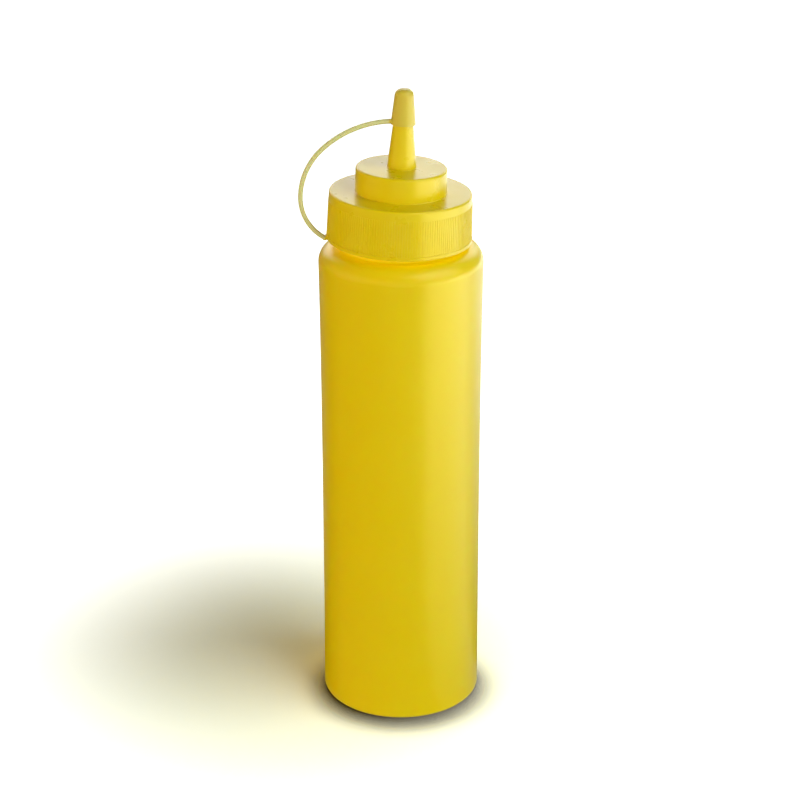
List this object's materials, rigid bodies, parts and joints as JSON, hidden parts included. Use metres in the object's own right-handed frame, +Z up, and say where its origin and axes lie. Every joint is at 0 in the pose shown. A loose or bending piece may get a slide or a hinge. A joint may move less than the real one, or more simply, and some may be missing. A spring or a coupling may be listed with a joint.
{
  "type": "squeeze bottle",
  "caption": "Tall round plastic squeeze bottle for sauces, with a stepped screw closure, a cone nozzle and a tip cap held by a moulded strap",
  "frame": {"origin": "centre of the flat ring that the bottle stands on", "axes": "+Z up along the bottle's axis; the strap lies on the -X side, and the closure leans slightly towards +X; -Y faces the viewer"},
  "size_m": [0.0746, 0.067, 0.2665],
  "materials": {
    "bottle_ldpe": "blow-moulded yellow LDPE, satin",
    "closure_ldpe": "injection-moulded yellow LDPE, soft gloss",
    "tip_cap_ldpe": "injection-moulded yellow LDPE, thin and slightly paler"
  },
  "bodies": {
    "root": {"bottle": "bottle_ldpe", "closure": "closure_ldpe", "tip_cap": "tip_cap_ldpe"}
  },
  "joints": []
}
